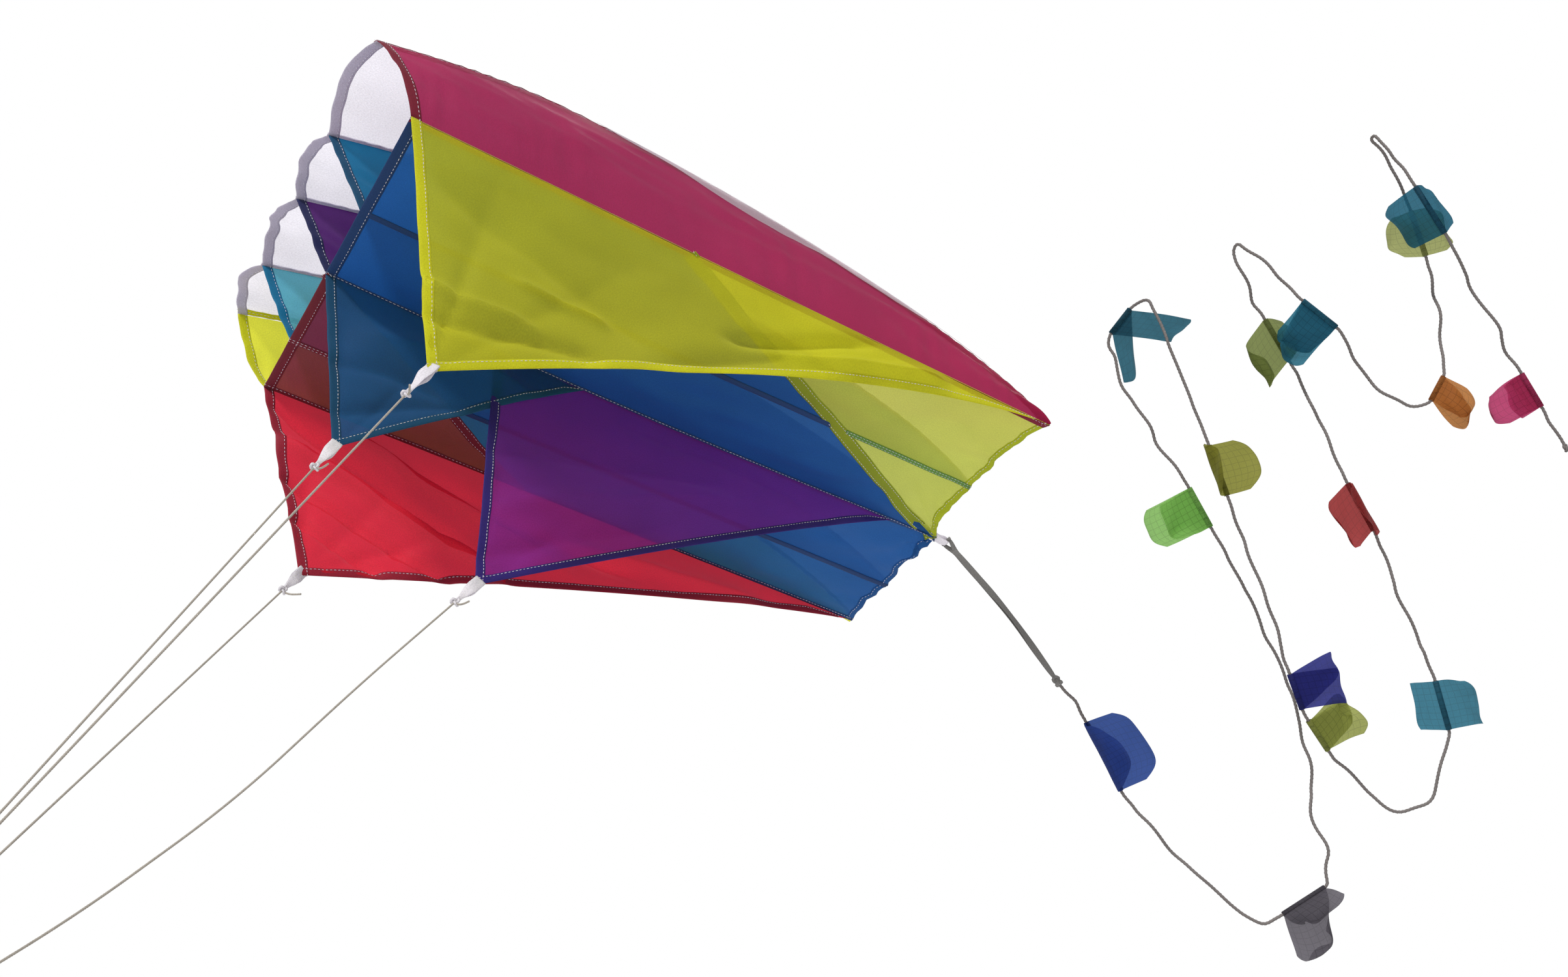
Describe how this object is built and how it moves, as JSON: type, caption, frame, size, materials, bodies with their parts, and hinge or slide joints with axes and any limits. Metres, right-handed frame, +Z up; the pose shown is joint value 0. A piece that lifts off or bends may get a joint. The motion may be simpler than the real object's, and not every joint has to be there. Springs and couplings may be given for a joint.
{
  "type": "parafoil kite",
  "caption": "Soft ram-air parafoil kite: open-mouthed cells in coloured cloth, triangular keels underneath, a bridle to one tow loop, and a ribboned tail line.",
  "frame": {"origin": "middle of the tow knot, where the four bridle lines meet", "axes": "+X downwind along the cells from mouth to trailing edge, +Y across the span towards the yellow end rib, +Z up from the keels to the upper skin"},
  "size_m": [1.2343, 0.6047, 1.0047],
  "materials": {
    "top_white": "thin woven nylon",
    "rib_burgundy": "thin woven nylon",
    "rib_teal": "thin woven nylon",
    "rib_purple": "thin woven nylon",
    "rib_sky": "thin woven nylon",
    "rib_yellow": "thin woven nylon",
    "bottom_blue": "thin woven nylon",
    "bottom_red": "thin woven nylon",
    "bottom_green": "thin woven nylon",
    "keel_yellow": "thin woven nylon",
    "keel_blue": "thin woven nylon",
    "keel_purple": "thin woven nylon",
    "keel_red": "thin woven nylon",
    "tape": "woven cord or tape",
    "bridle_cord": "woven cord or tape",
    "yoke_ribbon": "woven cord or tape",
    "tail_cord": "woven cord or tape",
    "bow_1": "thin woven nylon",
    "bow_2": "thin woven nylon",
    "bow_3": "thin woven nylon",
    "bow_4": "thin woven nylon",
    "bow_5": "thin woven nylon",
    "bow_6": "thin woven nylon",
    "bow_7": "thin woven nylon",
    "bow_8": "thin woven nylon",
    "bow_9": "thin woven nylon",
    "bow_10": "thin woven nylon",
    "bow_11": "thin woven nylon",
    "bow_12": "thin woven nylon",
    "bow_13": "thin woven nylon",
    "bow_14": "thin woven nylon",
    "bow_15": "thin woven nylon"
  },
  "bodies": {
    "kite": {"top_panel_1": "top_white", "top_panel_2": "top_white", "top_panel_3": "top_white", "top_panel_4": "top_white", "rib_burgundy": "rib_burgundy", "rib_teal": "rib_teal", "rib_purple": "rib_purple", "rib_sky": "rib_sky", "rib_yellow": "rib_yellow", "keel_yellow": "keel_yellow", "keel_blue": "keel_blue", "keel_purple": "keel_purple", "keel_red": "keel_red", "bottom_panel_blue": "bottom_blue", "bottom_panel_red": "bottom_red", "bottom_panel_green": "bottom_green", "tape_yellow": "tape", "knot_yellow": "bridle_cord", "bridle_yellow": "bridle_cord", "tape_blue": "tape", "knot_blue": "bridle_cord", "bridle_blue": "bridle_cord", "tape_purple": "tape", "knot_purple": "bridle_cord", "bridle_purple": "bridle_cord", "tape_red": "tape", "knot_red": "bridle_cord", "bridle_red": "bridle_cord", "tow_knot": "bridle_cord", "tow_loop": "bridle_cord", "tail_tab": "tape"},
    "yoke": {"tail_yoke": "yoke_ribbon", "yoke_knot": "yoke_ribbon"},
    "tail": {"tail_line": "tail_cord", "tail_end_knot": "tail_cord"},
    "bow_1_body": {"bow_1": "bow_1"},
    "bow_2_body": {"bow_2": "bow_2"},
    "bow_3_body": {"bow_3": "bow_3"},
    "bow_4_body": {"bow_4": "bow_4"},
    "bow_5_body": {"bow_5": "bow_5"},
    "bow_6_body": {"bow_6": "bow_6"},
    "bow_7_body": {"bow_7": "bow_7"},
    "bow_8_body": {"bow_8": "bow_8"},
    "bow_9_body": {"bow_9": "bow_9"},
    "bow_10_body": {"bow_10": "bow_10"},
    "bow_11_body": {"bow_11": "bow_11"},
    "bow_12_body": {"bow_12": "bow_12"},
    "bow_13_body": {"bow_13": "bow_13"},
    "bow_14_body": {"bow_14": "bow_14"},
    "bow_15_body": {"bow_15": "bow_15"}
  },
  "joints": [
    {"name": "yoke_flap", "type": "hinge", "parent": "kite", "child": "yoke", "pos_m": [0.762, 0, 0.7], "axis": [0, 1, 0], "range_deg": [-35, 35]},
    {"name": "tail_swing", "type": "hinge", "parent": "yoke", "child": "tail", "pos_m": [0.89, 0.015, 0.595], "axis": [0, 0, 1], "range_deg": [-35, 35]},
    {"name": "bow_1_turn", "type": "hinge", "parent": "tail", "child": "bow_1_body", "pos_m": [0.9475, 0.03, 0.54], "axis": [0.6562, 0.2386, -0.7159], "range_deg": [-20, 20]},
    {"name": "bow_2_turn", "type": "hinge", "parent": "tail", "child": "bow_2_body", "pos_m": [1.139, 0, 0.43], "axis": [0.5307, -0.7581, 0.379], "range_deg": [-20, 20]},
    {"name": "bow_3_turn", "type": "hinge", "parent": "tail", "child": "bow_3_body", "pos_m": [0.9575, -0.1435, 0.723], "axis": [-0.7308, -0.2714, 0.6264], "range_deg": [-20, 20]},
    {"name": "bow_4_turn", "type": "hinge", "parent": "tail", "child": "bow_4_body", "pos_m": [0.8445, -0.198, 0.871], "axis": [0.2646, -0.7644, 0.588], "range_deg": [-20, 20]},
    {"name": "bow_5_turn", "type": "hinge", "parent": "tail", "child": "bow_5_body", "pos_m": [0.944, -0.185, 0.73], "axis": [0.4842, 0.2767, -0.8301], "range_deg": [-20, 20]},
    {"name": "bow_6_turn", "type": "hinge", "parent": "tail", "child": "bow_6_body", "pos_m": [1.06, -0.114, 0.564], "axis": [0.6075, 0.3738, -0.7009], "range_deg": [-5, 20]},
    {"name": "bow_7_turn", "type": "hinge", "parent": "tail", "child": "bow_7_body", "pos_m": [1.0935, -0.0995, 0.5365], "axis": [0.8241, 0.2613, -0.5025], "range_deg": [-20, 5]},
    {"name": "bow_8_turn", "type": "hinge", "parent": "tail", "child": "bow_8_body", "pos_m": [1.1905, -0.1705, 0.562], "axis": [-0.513, -0.399, 0.76], "range_deg": [-20, 20]},
    {"name": "bow_9_turn", "type": "hinge", "parent": "tail", "child": "bow_9_body", "pos_m": [1.074, -0.2325, 0.708], "axis": [-0.6704, -0.2293, 0.7057], "range_deg": [-20, 20]},
    {"name": "bow_10_turn", "type": "hinge", "parent": "tail", "child": "bow_10_body", "pos_m": [0.971, -0.2725, 0.845], "axis": [-0.673, -0.2057, 0.7104], "range_deg": [-12, 12]},
    {"name": "bow_11_turn", "type": "hinge", "parent": "tail", "child": "bow_11_body", "pos_m": [0.978, -0.3195, 0.84], "axis": [0.8666, -0.0619, -0.4952], "range_deg": [-20, 5]},
    {"name": "bow_12_turn", "type": "hinge", "parent": "tail", "child": "bow_12_body", "pos_m": [1.1, -0.335, 0.791], "axis": [0.1333, -0.7333, 0.6667], "range_deg": [-20, 20]},
    {"name": "bow_13_turn", "type": "hinge", "parent": "tail", "child": "bow_13_body", "pos_m": [1.0575, -0.402, 0.926], "axis": [-0.529, -0.3648, 0.7662], "range_deg": [-20, 20]},
    {"name": "bow_14_turn", "type": "hinge", "parent": "tail", "child": "bow_14_body", "pos_m": [1.0325, -0.433, 0.91], "axis": [0.686, 0.1914, -0.702], "range_deg": [-20, 20]},
    {"name": "bow_15_turn", "type": "hinge", "parent": "tail", "child": "bow_15_body", "pos_m": [1.1735, -0.3825, 0.786], "axis": [0.6794, 0.2109, -0.7028], "range_deg": [-20, 20]}
  ]
}
